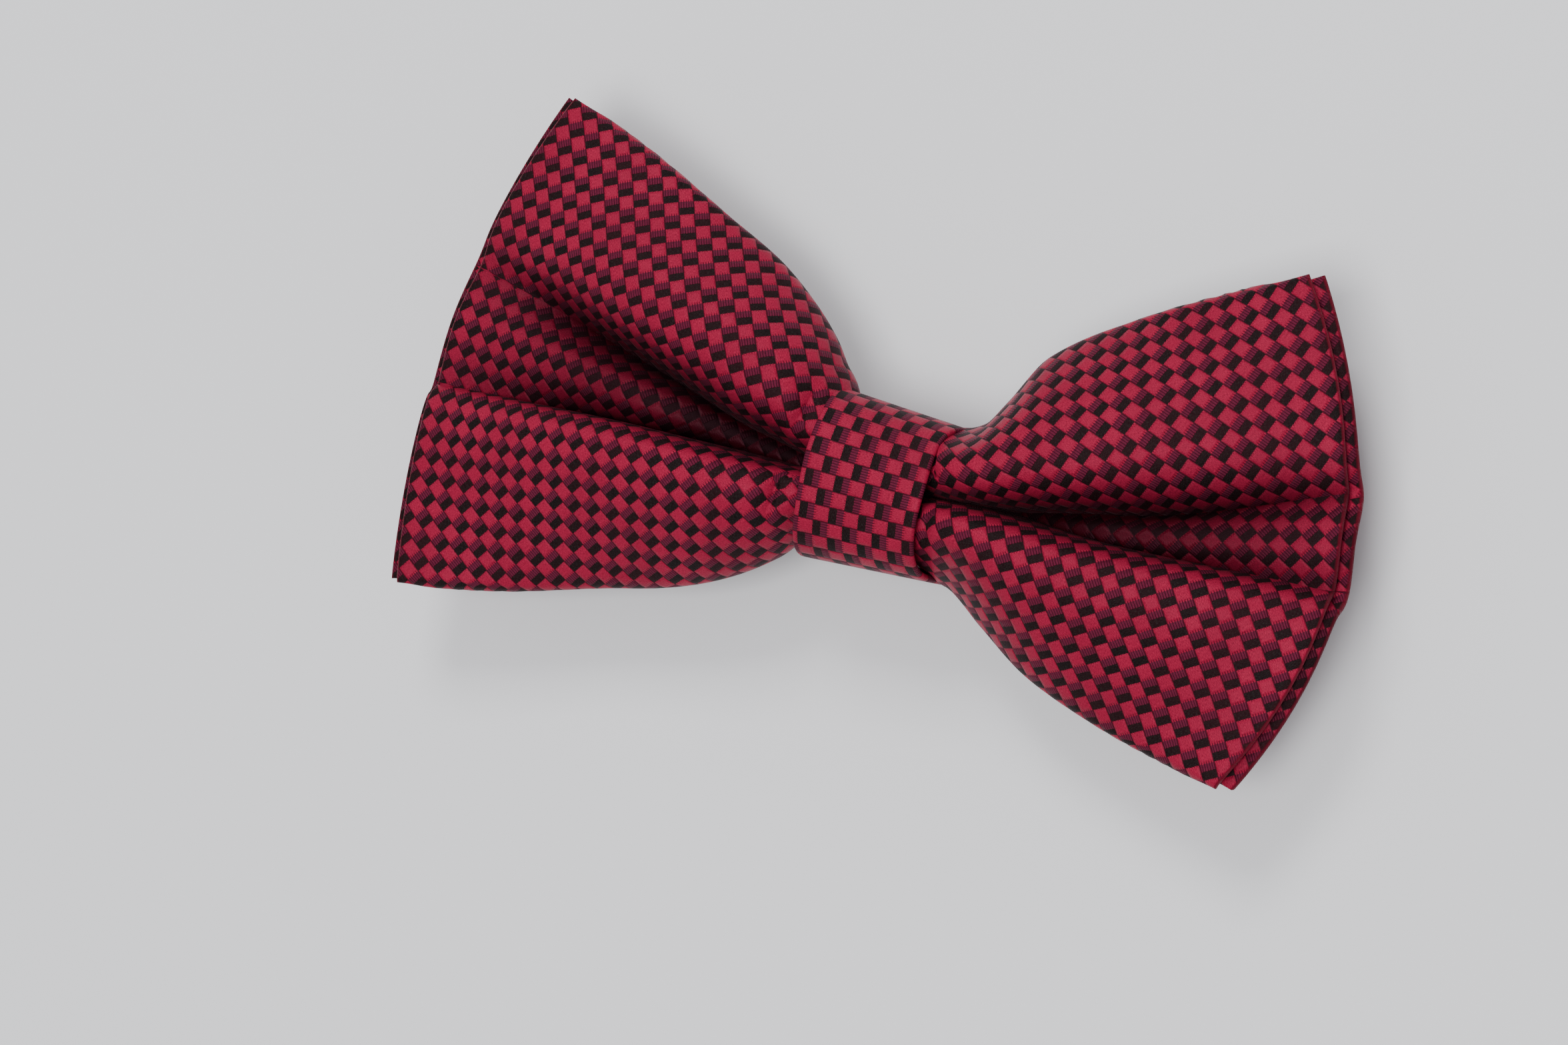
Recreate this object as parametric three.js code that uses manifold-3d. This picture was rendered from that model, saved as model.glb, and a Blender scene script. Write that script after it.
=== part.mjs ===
// A pre-tied double-layer bow tie, lying face up on its folded neck strap.
// Millimetres. +Z is the way the bow faces, +Y its upper edge, +X its right wing.
import * as THREE from "three";
import { mergeVertices } from "three/addons/utils/BufferGeometryUtils.js";
import Module from "manifold-3d";

const wasm = await Module();
wasm.setup();

// ---------------------------------------------------------------- dimensions

// Bow
const WING_REACH = 59.0;        // knot axis to the middle of the front bow's outer edge
const WING_HALF_HEIGHT = 31.0;  // half the outer edge's height
const WING_ROOT = 11.0;         // where a wing leaves the knot
const ROOT_HALF_HEIGHT = 8.6;   // half the gathered height there
const CORNER_CUT = 7.2;         // how far the outer corners sit back from the edge's middle
const WING_LIFT = 6.0;          // degrees that each wing's axis rises from the knot
const FLARE = 0.55;             // power of the outline's flare, 1 is straight
const BACK_BOW_EXTRA = 1.2;     // how much further the back bow reaches

// Cloth
const LAYER_THICKNESS = 2.1;    // one bow: cloth, interlining, cloth
const CLOTH = 0.45;
const LAYER_GAP = 1.1;          // between the front bow and the back bow
const INTERLINING = 0.55;
const VALLEY_DEPTH = 1.4;       // of the folds, below the layer's middle, at the knot
const HEM = 1.2;                // room left between interlining and folded edge

// Knot
const KNOT_WIDTH = 17.0;
const BAND_THICKNESS = 0.8;
const KNOT_LINING = 0.5;
const KNOT_SIDE_ROOM = 1.3;     // between the strap's edges and the lining
const KNOT_FRONT_ROOM = 1.25;   // between the bound pleats and the lining
const PLEAT_THICKNESS = 1.1;
const PLEAT_SWING = 0.75;       // half the height of the gathered folds
const PLEAT_INSET = 2.4;        // from the lining's inside to the pleats' edges
const THREAD = 0.6;
const BINDING_SLACK = 0.25;     // lets the thread's turns clear the pleats' corners
const FRONT_ROUNDNESS = 2.6;    // power of the knot's section, 2 is an ellipse
const BACK_ROUNDNESS = 6.0;     // its back is nearly flat on the strap
const CORNER_ROOM = 0.25;       // lifts the strap clear of the rounded back corners

// Neck strap, folded to and fro behind the bow
const STRAP_WIDTH = 13.0;
const STRAP_THICKNESS = 0.7;
const STRAP_GAP = 0.4;          // between two runs that lie on each other
const HANK_LEFT = -45.0;        // where the runs turn back
const HANK_RIGHT = 43.0;
const STEP_LEFT = -24.0;        // the runs climb over the slide between these
const STEP_RIGHT = -8.0;
const TAIL = 7.0;               // sewn end of the strap beyond a metal bar

// Strap hardware
const METAL = 0.6;
const SLIDE_X = 15.0;           // middle of the adjuster slide
const SLIDE_LENGTH = 9.0;
const SLIDE_TRAVEL = 8.0;       // each way along the strap
const RAIL = 1.2;               // width of the metal beside the strap
const BIGHT_X = 31.0;           // centre of the strap's turn round the hook's bar
const HOOK_REACH = 44.0;
const EYE_X = 32.0;             // centre of the strap's turn round the eye's bar
const EYE_REACH = 43.0;
const CLEARANCE = 0.3;
const TACK_THICKNESS = 0.35;    // the bar tack over a sewn strap end
const TACK_GAP = 0.05;

// --------------------------------------------------------- levels above the base

const pitch = STRAP_THICKNESS + STRAP_GAP;
const slideBarBottom = STRAP_THICKNESS + CLEARANCE;
const wrapTopBottom = slideBarBottom + METAL + CLEARANCE;
const runFour = wrapTopBottom + STRAP_THICKNESS + CLEARANCE + STRAP_THICKNESS / 2;
const slideTop = runFour + STRAP_THICKNESS / 2 + CLEARANCE + METAL;
const runThree = slideTop + CLEARANCE + STRAP_THICKNESS / 2;
const runTwo = runThree + pitch;
const knotBack = runTwo + STRAP_THICKNESS / 2 + CLEARANCE;
const runOne = knotBack + BAND_THICKNESS + KNOT_LINING + 2 * CLEARANCE + CORNER_ROOM
  + STRAP_THICKNESS / 2;
const floorRun = STRAP_THICKNESS / 2;
const eyeRun = runTwo + pitch;
const eyeTurn = 2 * CLEARANCE + METAL + STRAP_THICKNESS;
const eyeEndTop = eyeRun + eyeTurn + STRAP_THICKNESS / 2 + TACK_GAP + TACK_THICKNESS;

// ------------------------------------------------- sizes that follow from others

const layerCentre = (LAYER_THICKNESS + LAYER_GAP) / 2;
const pleatCentre = PLEAT_SWING + PLEAT_THICKNESS / 2 + CLEARANCE;
const bindingHalfDepth = 2 * pleatCentre + THREAD / 2 + BINDING_SLACK;
const heightOverKnotStack = runOne + STRAP_THICKNESS / 2 + CLEARANCE + THREAD / 2 + bindingHalfDepth;
const heightOverEye = eyeEndTop + layerCentre + LAYER_THICKNESS / 2 + VALLEY_DEPTH;
const KNOT_Z = Math.max(heightOverKnotStack, heightOverEye);
const wallRoom = BAND_THICKNESS + KNOT_LINING + CLEARANCE;
const knotFront = bindingHalfDepth + THREAD / 2 + CLEARANCE + KNOT_FRONT_ROOM + wallRoom;
const knotRear = KNOT_Z - knotBack;
const knotHalfHeight = STRAP_WIDTH / 2 + KNOT_SIDE_ROOM + wallRoom;
const pleatHalfHeight = knotHalfHeight - wallRoom - PLEAT_INSET;

// ------------------------------------------------------------------ materials

const cloth = new THREE.MeshStandardMaterial({ color: 0x7d1029, roughness: 0.5, metalness: 0 });
const lining = new THREE.MeshStandardMaterial({ color: 0xe6e2da, roughness: 0.9, metalness: 0 });
const thread = new THREE.MeshStandardMaterial({ color: 0x3a0c18, roughness: 0.7, metalness: 0 });
const webbing = new THREE.MeshStandardMaterial({ color: 0x5f1022, roughness: 0.6, metalness: 0 });
const nickel = new THREE.MeshStandardMaterial({ color: 0xc9c8c4, roughness: 0.25, metalness: 1 });

const bowTie = new THREE.Group();

function add(name, geometry, material) {
  const mesh = new THREE.Mesh(geometry, material);
  mesh.name = name;
  bowTie.add(mesh);
  return mesh;
}

// -------------------------------------------------------------------- helpers

const lerp = (a, b, k) => a + (b - a) * k;
const smooth = (k) => k * k * (3 - 2 * k);

// The triangles of a list of quads, each given by four indices seen from outside.
function fromQuads(points, quads) {
  const geometry = new THREE.BufferGeometry();
  geometry.setAttribute("position", new THREE.Float32BufferAttribute(points.flat(), 3));
  geometry.setIndex(quads.flatMap(([a, b, c, d]) => [a, b, c, a, c, d]));
  return geometry;
}

function flipped(geometry) {
  const index = Array.from(geometry.index.array);
  for (let i = 0; i < index.length; i += 3) {
    [index[i], index[i + 1]] = [index[i + 1], index[i]];
  }
  geometry.setIndex(index);
  return geometry;
}

function solidOf(geometry) {
  const bare = geometry.clone();
  bare.deleteAttribute("normal");
  bare.deleteAttribute("uv");
  const merged = mergeVertices(bare);
  const mesh = new wasm.Mesh({
    numProp: 3,
    vertProperties: new Float32Array(merged.attributes.position.array),
    triVerts: new Uint32Array(merged.index.array),
  });
  return new wasm.Manifold(mesh);
}

function joined(geometries) {
  const whole = geometries.map(solidOf).reduce((sum, next) => sum.add(next));
  const mesh = whole.getMesh();
  const geometry = new THREE.BufferGeometry();
  geometry.setAttribute("position", new THREE.Float32BufferAttribute(mesh.vertProperties, 3));
  geometry.setIndex(Array.from(mesh.triVerts));
  return geometry;
}

// A box from its low to its high corner.
function block(low, high) {
  const size = low.map((value, axis) => high[axis] - value);
  const geometry = new THREE.BoxGeometry(...size);
  geometry.translate(...low.map((value, axis) => value + size[axis] / 2));
  return geometry;
}

// A shape drawn in X and Z, as deep as width along Y, centred on Y = 0.
function extrudeAlongY(shape, width) {
  const geometry = new THREE.ExtrudeGeometry(shape, { depth: width, bevelEnabled: false });
  geometry.translate(0, 0, -width / 2);
  geometry.rotateX(Math.PI / 2);
  return geometry;
}

// A shape drawn in Y and Z, as long as length along X, centred on X = 0.
function extrudeAlongX(shape, length) {
  const geometry = new THREE.ExtrudeGeometry(shape, { depth: length, bevelEnabled: false });
  geometry.translate(0, 0, -length / 2);
  geometry.rotateY(Math.PI / 2);
  geometry.rotateX(Math.PI / 2);
  return geometry;
}

// The outline of a strip of the given thickness along a line of points.
function stripShape(path, thickness) {
  const left = [];
  const right = [];
  path.forEach((point, i) => {
    const before = path[Math.max(i - 1, 0)];
    const after = path[Math.min(i + 1, path.length - 1)];
    const along = after.clone().sub(before).normalize();
    const across = new THREE.Vector2(-along.y, along.x).multiplyScalar(thickness / 2);
    left.push(point.clone().add(across));
    right.push(point.clone().sub(across));
  });
  return new THREE.Shape([...left, ...right.reverse()]);
}

// Points along a level run that changes height between two places.
function run(fromX, toX, zLeft, zRight, stepLeft = STEP_LEFT, stepRight = STEP_RIGHT) {
  const steps = 8;
  const marks = Array.from({ length: steps + 1 }, (_, i) => lerp(stepLeft, stepRight, i / steps));
  const low = Math.min(fromX, toX);
  const high = Math.max(fromX, toX);
  const inside = marks.filter((x) => x > low && x < high);
  const height = (x) => lerp(zLeft, zRight,
    smooth(THREE.MathUtils.clamp((x - stepLeft) / (stepRight - stepLeft), 0, 1)));
  const points = [low, ...inside, high].map((x) => new THREE.Vector2(x, height(x)));
  return fromX < toX ? points : points.reverse();
}

// A half turn from one height to another, bulging to the given side.
function turn(x, zFrom, zTo, side) {
  const steps = 6;
  const radius = Math.abs(zTo - zFrom) / 2;
  const middle = (zFrom + zTo) / 2;
  const way = Math.sign(zFrom - zTo);
  return Array.from({ length: steps - 1 }, (_, i) => {
    const angle = Math.PI * (i + 1) / steps;
    return new THREE.Vector2(
      x + side * radius * Math.sin(angle), middle + way * radius * Math.cos(angle));
  });
}

// A round cord along a curve.
function cordGeometry(curve, diameter, steps) {
  const sides = 6;
  const ring = Array.from({ length: sides }, (_, i) => new THREE.Vector2(
    Math.cos(i * 2 * Math.PI / sides), Math.sin(i * 2 * Math.PI / sides))
    .multiplyScalar(diameter / 2));
  return new THREE.ExtrudeGeometry(new THREE.Shape(ring),
    { steps, extrudePath: curve, bevelEnabled: false });
}

// ---------------------------------------------------------------------- wings

// Where the folds run across a wing, from its lower edge (-1) to its upper (+1).
const LOWER_CROWN = -0.58;
const LOWER_VALLEY = -0.15;
const MIDDLE_RIDGE = 0.05;
const UPPER_VALLEY = 0.25;
const UPPER_CROWN = 0.6;
const ACROSS = [-1, -0.8, LOWER_CROWN, -0.36, LOWER_VALLEY, -0.05, MIDDLE_RIDGE,
  0.15, UPPER_VALLEY, 0.42, UPPER_CROWN, 0.8, 1];
const ALONG = 8;

// Height of the folds over the wing's plane: t runs out from the knot, s across.
function foldHeight(t, s) {
  const swell = t * (1 - t);
  const edge = -0.4 - 3.2 * swell;
  const crown = lerp(2.2, 1.2, t) + 3.2 * swell;
  const valley = -lerp(VALLEY_DEPTH, 0.9, t);
  const ridge = lerp(-0.4, 0.5, t);
  const places = [-1, LOWER_CROWN, LOWER_VALLEY, MIDDLE_RIDGE, UPPER_VALLEY, UPPER_CROWN, 1];
  const heights = [edge, crown, valley, ridge, valley, crown, edge];
  let i = 0;
  while (i < places.length - 2 && s > places[i + 1]) i += 1;
  const k = (s - places[i]) / (places[i + 1] - places[i]);
  return lerp(heights[i], heights[i + 1], smooth(k));
}

function reachOf(layer) {
  return WING_REACH + (layer < 0 ? BACK_BOW_EXTRA : 0);
}

function halfHeightAt(t) {
  return lerp(ROOT_HALF_HEIGHT, WING_HALF_HEIGHT, Math.pow(t, FLARE));
}

// A point of a wing, lift above the middle of its layer.
function wingPoint(side, layer, t, s, lift) {
  const u = WING_ROOT + t * (reachOf(layer) - CORNER_CUT * s * s - WING_ROOT);
  const v = s * halfHeightAt(t);
  const angle = THREE.MathUtils.degToRad(WING_LIFT);
  const x = u * Math.cos(angle) - v * Math.sin(angle);
  const y = u * Math.sin(angle) + v * Math.cos(angle);
  const z = KNOT_Z + layer * layerCentre + foldHeight(t, s) + lift;
  return [side * x, y, z];
}

// The front and back grids of one closed sheet that stops short of the wing's outline by
// inset, and its quads except at the knot end.
function sheetGrids(side, layer, inset, half, start) {
  const points = [];
  const columns = ACROSS.length;
  const lastT = 1 - inset / (reachOf(layer) - CORNER_CUT - WING_ROOT);
  const grids = [half, -half].map((lift) => {
    const first = start + points.length;
    for (let i = 0; i <= ALONG; i += 1) {
      const t = Math.min(i / ALONG, lastT);
      const lastS = 1 - inset / halfHeightAt(t);
      ACROSS.forEach((s) => {
        points.push(wingPoint(side, layer, t, THREE.MathUtils.clamp(s, -lastS, lastS), lift));
      });
    }
    return (i, j) => first + i * columns + j;
  });
  const [front, back] = grids;
  const quads = [];
  for (let i = 0; i < ALONG; i += 1) {
    for (let j = 0; j < columns - 1; j += 1) {
      quads.push([front(i, j), front(i + 1, j), front(i + 1, j + 1), front(i, j + 1)]);
      quads.push([back(i, j), back(i, j + 1), back(i + 1, j + 1), back(i + 1, j)]);
    }
    quads.push([front(i, 0), back(i, 0), back(i + 1, 0), front(i + 1, 0)]);
    const top = columns - 1;
    quads.push([front(i, top), front(i + 1, top), back(i + 1, top), back(i, top)]);
  }
  for (let j = 0; j < columns - 1; j += 1) {
    quads.push([front(ALONG, j), back(ALONG, j), back(ALONG, j + 1), front(ALONG, j + 1)]);
  }
  return { points, quads, front, back };
}

// The interlining: a closed sheet.
function interliningGeometry(side, layer) {
  const { points, quads, front, back } = sheetGrids(side, layer, HEM, INTERLINING / 2, 0);
  for (let j = 0; j < ACROSS.length - 1; j += 1) {
    quads.push([front(0, j), front(0, j + 1), back(0, j + 1), back(0, j)]);
  }
  const geometry = fromQuads(points, quads);
  return side < 0 ? flipped(geometry) : geometry;
}

// The cloth round it: a pocket with folded edges, open towards the knot.
function pocketGeometry(side, layer) {
  const outer = sheetGrids(side, layer, 0, LAYER_THICKNESS / 2, 0);
  const inner = sheetGrids(side, layer, CLOTH, LAYER_THICKNESS / 2 - CLOTH, outer.points.length);
  const quads = [...outer.quads, ...inner.quads.map(([a, b, c, d]) => [a, d, c, b])];
  const top = ACROSS.length - 1;
  for (let j = 0; j < top; j += 1) {
    quads.push([outer.front(0, j), outer.front(0, j + 1), inner.front(0, j + 1), inner.front(0, j)]);
    quads.push([outer.back(0, j), inner.back(0, j), inner.back(0, j + 1), outer.back(0, j + 1)]);
  }
  quads.push([outer.front(0, 0), inner.front(0, 0), inner.back(0, 0), outer.back(0, 0)]);
  quads.push([outer.front(0, top), outer.back(0, top), inner.back(0, top), inner.front(0, top)]);
  const geometry = fromQuads([...outer.points, ...inner.points], quads);
  return side < 0 ? flipped(geometry) : geometry;
}

for (const [sideName, side] of [["left", -1], ["right", 1]]) {
  for (const [layerName, layer] of [["front", 1], ["back", -1]]) {
    add(`${layerName}_bow_${sideName}_wing`, pocketGeometry(side, layer), cloth);
    add(`${layerName}_bow_${sideName}_interlining`, interliningGeometry(side, layer), lining);
  }
}

// ----------------------------------------------------------------------- knot

// A flattened round outline in Y and Z about the knot's axis, drawn in by inset.
function roundOutline(inset) {
  const steps = 36;
  return Array.from({ length: steps }, (_, i) => {
    const angle = 2 * Math.PI * i / steps;
    const c = Math.cos(angle);
    const s = Math.sin(angle);
    const power = s < 0 ? BACK_ROUNDNESS : FRONT_ROUNDNESS;
    const halfDepth = s < 0 ? knotRear : knotFront;
    return new THREE.Vector2(
      Math.sign(c) * Math.pow(Math.abs(c), 2 / power) * (knotHalfHeight - inset),
      KNOT_Z + Math.sign(s) * Math.pow(Math.abs(s), 2 / power) * (halfDepth - inset));
  });
}

function sleeve(inset, thickness, length) {
  const shape = new THREE.Shape(roundOutline(inset));
  shape.holes.push(new THREE.Path(roundOutline(inset + thickness)));
  return extrudeAlongX(shape, length);
}

add("knot_band", sleeve(0, BAND_THICKNESS, KNOT_WIDTH), cloth);
add("knot_interlining", sleeve(BAND_THICKNESS + CLEARANCE, KNOT_LINING, KNOT_WIDTH - 2), lining);

// The gathered middle of each bow: two valleys with a ridge between them.
function pleats(layer) {
  const steps = 16;
  const path = Array.from({ length: steps + 1 }, (_, i) => {
    const k = i / steps;
    const wave = Math.cos(k * 4 * Math.PI) * PLEAT_SWING;
    return new THREE.Vector2(lerp(-1, 1, k) * pleatHalfHeight, KNOT_Z + layer * pleatCentre + wave);
  });
  return extrudeAlongX(stripShape(path, PLEAT_THICKNESS), KNOT_WIDTH - 1);
}

add("front_bow_centre_pleats", pleats(1), cloth);
add("back_bow_centre_pleats", pleats(-1), cloth);

// Three turns of thread tie the pleats under the band.
class BindingCurve extends THREE.Curve {
  getPoint(k, target = new THREE.Vector3()) {
    const turns = 3;
    const lead = 1.4;
    const roundness = 7;
    const angle = 2 * Math.PI * turns * k;
    const bend = (value) => Math.sign(value) * Math.pow(Math.abs(value), 2 / roundness);
    const halfHeight = pleatHalfHeight + 0.75 + THREAD / 2;
    return target.set(lead * turns * (k - 0.5), halfHeight * bend(Math.cos(angle)),
      KNOT_Z + bindingHalfDepth * bend(Math.sin(angle)));
  }
}
add("binding_thread", cordGeometry(new BindingCurve(), THREAD, 48), thread);

// The stitching that closes the band, along its lower back corner.
class SeamCurve extends THREE.Curve {
  getPoint(k, target = new THREE.Vector3()) {
    const stitches = 5;
    const angle = THREE.MathUtils.degToRad(200);
    const stand = CLEARANCE + THREAD * (0.6 + 0.25 * Math.cos(2 * Math.PI * stitches * k));
    const y = -Math.pow(-Math.cos(angle), 2 / BACK_ROUNDNESS) * (knotHalfHeight + stand);
    const z = -Math.pow(-Math.sin(angle), 2 / BACK_ROUNDNESS) * (knotRear + stand);
    return target.set(lerp(-1, 1, k) * (KNOT_WIDTH / 2 - 1), y, KNOT_Z + z);
  }
}
add("knot_seam_thread", cordGeometry(new SeamCurve(), THREAD, 30), thread);

// ---------------------------------------------------------------- neck strap

// The long strap, from its eye end through the knot and to and fro to the hook's turn.
const runFourEnd = BIGHT_X - 3 - (SLIDE_TRAVEL / 2 + CLEARANCE);
const runOneLeft = floorRun + 3 * pitch;
const knotSide = KNOT_WIDTH / 2 + 0.5;
const strapPath = [
  new THREE.Vector2(EYE_X - TAIL, eyeRun + eyeTurn),
  new THREE.Vector2(EYE_X, eyeRun + eyeTurn),
  ...turn(EYE_X, eyeRun + eyeTurn, eyeRun, 1),
  ...run(EYE_X, 0, runOne, eyeRun, knotSide, knotSide + 7),
  ...run(-0.5, HANK_LEFT, runOneLeft, runOne, -knotSide - 18, -knotSide),
  ...turn(HANK_LEFT, runOneLeft, floorRun + 2 * pitch, -1),
  ...run(HANK_LEFT, HANK_RIGHT, floorRun + 2 * pitch, runTwo),
  ...turn(HANK_RIGHT, runTwo, runThree, 1),
  ...run(HANK_RIGHT, HANK_LEFT, floorRun + pitch, runThree),
  ...turn(HANK_LEFT, floorRun + pitch, floorRun, -1),
  ...run(HANK_LEFT, runFourEnd, floorRun, runFour, -12, -2),
];
add("neck_strap", extrudeAlongY(stripShape(strapPath, STRAP_THICKNESS), STRAP_WIDTH), webbing);

// The turn of the strap that holds the hook.
const bightPath = [
  new THREE.Vector2(BIGHT_X - 3, runFour),
  new THREE.Vector2(BIGHT_X, runFour),
  ...turn(BIGHT_X, runFour, floorRun, 1),
  new THREE.Vector2(BIGHT_X, floorRun),
  new THREE.Vector2(BIGHT_X - 3, floorRun),
];
add("strap_hook_turn", extrudeAlongY(stripShape(bightPath, STRAP_THICKNESS), STRAP_WIDTH), webbing);

// The strap's end, back from the hook and round the slide's lower bar.
const wrapTop = wrapTopBottom + STRAP_THICKNESS / 2;
const wrapTail = floorRun + pitch;
const returnPath = [
  new THREE.Vector2(runFourEnd, floorRun),
  new THREE.Vector2(SLIDE_X, floorRun),
  ...turn(SLIDE_X, floorRun, wrapTop, -1),
  ...run(SLIDE_X, SLIDE_X + TAIL, wrapTop, wrapTail, SLIDE_X + 0.8, SLIDE_X + 3.2),
];
add("strap_return_run", extrudeAlongY(stripShape(returnPath, STRAP_THICKNESS), STRAP_WIDTH), webbing);

// A bar tack over each sewn strap end.
function barTack(x, runCentre) {
  const halfLength = STRAP_WIDTH / 2 - 1.5;
  const bottom = runCentre + STRAP_THICKNESS / 2 + TACK_GAP;
  return block([x - 0.7, -halfLength, bottom], [x + 0.7, halfLength, bottom + TACK_THICKNESS]);
}
add("return_run_bar_tack", barTack(SLIDE_X + TAIL - 1.5, wrapTail), thread);
add("eye_end_bar_tack", barTack(EYE_X - TAIL + 1.5, eyeRun + eyeTurn), thread);

// ------------------------------------------------------------ strap hardware

const innerHalf = STRAP_WIDTH / 2 + CLEARANCE;
const outerHalf = innerHalf + RAIL;

// The slide: two rails, two bars over the strap and one under it.
const slideLeft = SLIDE_X - SLIDE_LENGTH / 2;
const slideRight = SLIDE_X + SLIDE_LENGTH / 2;
const barWidth = 1.4;
function slideBar(fromX, bottom) {
  return block([fromX, -outerHalf, bottom], [fromX + barWidth, outerHalf, bottom + METAL]);
}
add("adjuster_slide", joined([
  block([slideLeft, -outerHalf, slideBarBottom], [slideRight, -innerHalf, slideTop]),
  block([slideLeft, innerHalf, slideBarBottom], [slideRight, outerHalf, slideTop]),
  slideBar(slideLeft, slideTop - METAL),
  slideBar(slideRight - barWidth, slideTop - METAL),
  slideBar(SLIDE_X - barWidth / 2 + 0.4, slideBarBottom),
]), nickel);

// The hook: a bar in the strap's turn, two arms, a cross piece and a tongue curled back.
const hookZ = (floorRun + runFour) / 2;
const hookLow = hookZ - METAL / 2;
const hookHigh = hookZ + METAL / 2;
const TONGUE_HALF = 3.0;
const curlRadius = 0.75;
const curlX = HOOK_REACH - curlRadius - METAL / 2;
const tonguePath = [
  new THREE.Vector2(BIGHT_X + 5, hookZ),
  new THREE.Vector2(curlX, hookZ),
  ...turn(curlX, hookZ, hookZ + 2 * curlRadius, 1),
  new THREE.Vector2(curlX, hookZ + 2 * curlRadius),
  new THREE.Vector2(curlX - 4.5, hookZ + 2 * curlRadius),
];
add("strap_hook", joined([
  block([BIGHT_X - 0.6, -outerHalf, hookLow], [BIGHT_X + 0.6, outerHalf, hookHigh]),
  block([BIGHT_X - 0.6, -outerHalf, hookLow], [BIGHT_X + 5.5, -innerHalf, hookHigh]),
  block([BIGHT_X - 0.6, innerHalf, hookLow], [BIGHT_X + 5.5, outerHalf, hookHigh]),
  block([BIGHT_X + 4, -outerHalf, hookLow], [BIGHT_X + 5.5, outerHalf, hookHigh]),
  extrudeAlongY(stripShape(tonguePath, METAL), 2 * TONGUE_HALF),
]), nickel);

// The eye: a stamped plate, with one slot for the strap and one for the hook's tongue.
const eyeZ = eyeRun + eyeTurn / 2;
function slot(lowX, highX, half) {
  return new THREE.Path([new THREE.Vector2(lowX, -half), new THREE.Vector2(highX, -half),
    new THREE.Vector2(highX, half), new THREE.Vector2(lowX, half)]);
}
function eyeGeometry() {
  const left = EYE_X - 1.2;
  const shoulder = EYE_X + 3.4;
  const tip = TONGUE_HALF + 1.5 + RAIL;
  const shape = new THREE.Shape([
    new THREE.Vector2(left, -outerHalf), new THREE.Vector2(shoulder, -outerHalf),
    new THREE.Vector2(EYE_REACH, -tip), new THREE.Vector2(EYE_REACH, tip),
    new THREE.Vector2(shoulder, outerHalf), new THREE.Vector2(left, outerHalf)]);
  shape.holes.push(slot(EYE_X, EYE_X + 2.2, innerHalf));
  shape.holes.push(slot(EYE_X + 4.6, EYE_X + 8.1, TONGUE_HALF + 1.0));
  const geometry = new THREE.ExtrudeGeometry(shape, { depth: METAL, bevelEnabled: false });
  geometry.translate(0, 0, eyeZ - METAL / 2);
  return geometry;
}
add("strap_eye", eyeGeometry(), nickel);

// ------------------------------------------------- origin under the bow's middle

const box = new THREE.Box3().setFromObject(bowTie, true);
bowTie.position.set(-(box.min.x + box.max.x) / 2, -(box.min.y + box.max.y) / 2, -box.min.z);

export default bowTie;
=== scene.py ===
"""The looks of a pre-tied bow tie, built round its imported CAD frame. Lengths are in metres.

The bow faces +Z, its upper edge is +Y, and the neck strap lies folded behind it.
"""
import math

import bmesh
import bpy
import numpy as np
from mathutils import Matrix, Vector


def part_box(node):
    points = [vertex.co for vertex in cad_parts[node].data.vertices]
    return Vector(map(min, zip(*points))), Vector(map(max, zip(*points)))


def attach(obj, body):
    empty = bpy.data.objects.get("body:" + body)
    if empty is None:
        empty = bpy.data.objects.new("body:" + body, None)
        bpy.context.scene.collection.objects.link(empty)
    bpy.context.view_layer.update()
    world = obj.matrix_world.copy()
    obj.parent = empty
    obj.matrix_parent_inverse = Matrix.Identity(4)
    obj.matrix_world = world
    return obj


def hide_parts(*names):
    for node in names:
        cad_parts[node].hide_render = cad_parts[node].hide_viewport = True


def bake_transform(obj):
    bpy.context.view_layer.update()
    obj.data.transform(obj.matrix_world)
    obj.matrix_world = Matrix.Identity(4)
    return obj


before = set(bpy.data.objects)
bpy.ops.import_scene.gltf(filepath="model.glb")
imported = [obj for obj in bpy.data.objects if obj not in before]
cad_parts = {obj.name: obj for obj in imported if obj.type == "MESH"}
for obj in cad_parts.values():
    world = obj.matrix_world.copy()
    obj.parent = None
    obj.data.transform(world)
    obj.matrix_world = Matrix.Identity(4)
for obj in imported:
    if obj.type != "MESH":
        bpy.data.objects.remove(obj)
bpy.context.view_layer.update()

MM = 0.001
PHOTO_WIDTH = 2352               # the image, in its own pixels

# ------------------------------------------------------------------ driving sizes
KNOT_LOW, KNOT_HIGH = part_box("knot_band")
KNOT_CENTRE = Vector((0, (KNOT_LOW.y + KNOT_HIGH.y) / 2, 14.1 * MM))
CELL = 1.86 * MM                 # one square of the weave
WING_LIFT = math.radians(6)      # each wing's axis rises this much from the knot
WING_ROOT = 5.8 * MM             # where the wings' cloth starts, inside the knot band
HALF_CLOTH = 31.0 * MM           # half the height of the cloth, pulled flat


# ------------------------------------------------------------------------- camera
def add_camera():
    tilt, roll, distance = math.radians(22), math.radians(14), 0.447
    pixels_per_metre = 12600                       # at the knot
    knot_right, knot_up = 0.0105, 0.0042           # the knot's place off the picture's middle
    back = Vector((math.sin(tilt), 0, math.cos(tilt)))
    right = Vector((0, 1, 0)).cross(back).normalized()
    up = back.cross(right)
    picture_right = right * math.cos(roll) + up * math.sin(roll)
    picture_up = up * math.cos(roll) - right * math.sin(roll)
    target = KNOT_CENTRE - picture_right * knot_right - picture_up * knot_up
    data = bpy.data.cameras.new("camera")
    data.sensor_width = 36
    data.lens = pixels_per_metre * distance / PHOTO_WIDTH * data.sensor_width
    data.clip_start, data.clip_end = 0.01, 20
    camera = bpy.data.objects.new("camera", data)
    bpy.context.scene.collection.objects.link(camera)
    axes = Matrix((picture_right, picture_up, back)).transposed().to_4x4()
    camera.matrix_world = Matrix.Translation(target + back * distance) @ axes
    bpy.context.scene.camera = camera


add_camera()


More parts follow.
